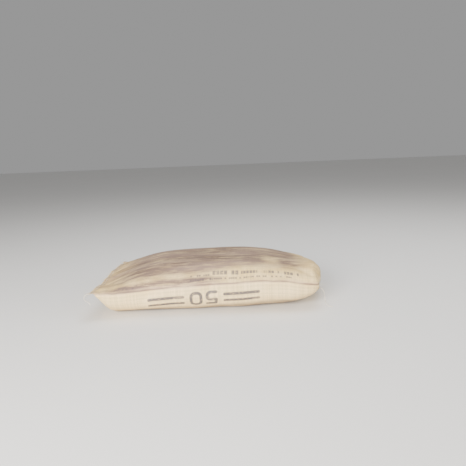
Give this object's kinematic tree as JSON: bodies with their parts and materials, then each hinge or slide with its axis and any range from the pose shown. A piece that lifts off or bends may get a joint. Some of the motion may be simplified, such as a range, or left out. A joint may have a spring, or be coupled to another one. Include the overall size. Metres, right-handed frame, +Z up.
{
  "type": "cement bag",
  "caption": "Filled woven cement bag lying flat, with a long tapered sewn mouth, pointed ears and a blunt rounded end whose hem is folded down.",
  "frame": {"origin": "centre of the bounding box's base, on the floor under the bag, without the two loose thread tails", "axes": "+X along the bag from the tapered sewn mouth to the blunt butt end, +Y from the front side to the back, +Z up"},
  "size_m": [0.753, 0.4849, 0.139],
  "materials": {
    "sack_cloth": "dusty cream woven plastic tape",
    "sewing_thread": "off-white twisted sewing thread"
  },
  "bodies": {
    "root": {"sack": "sack_cloth", "mouth_stitching": "sewing_thread", "butt_stitching": "sewing_thread", "mouth_thread_tail": "sewing_thread", "butt_thread_tail": "sewing_thread"}
  },
  "joints": []
}
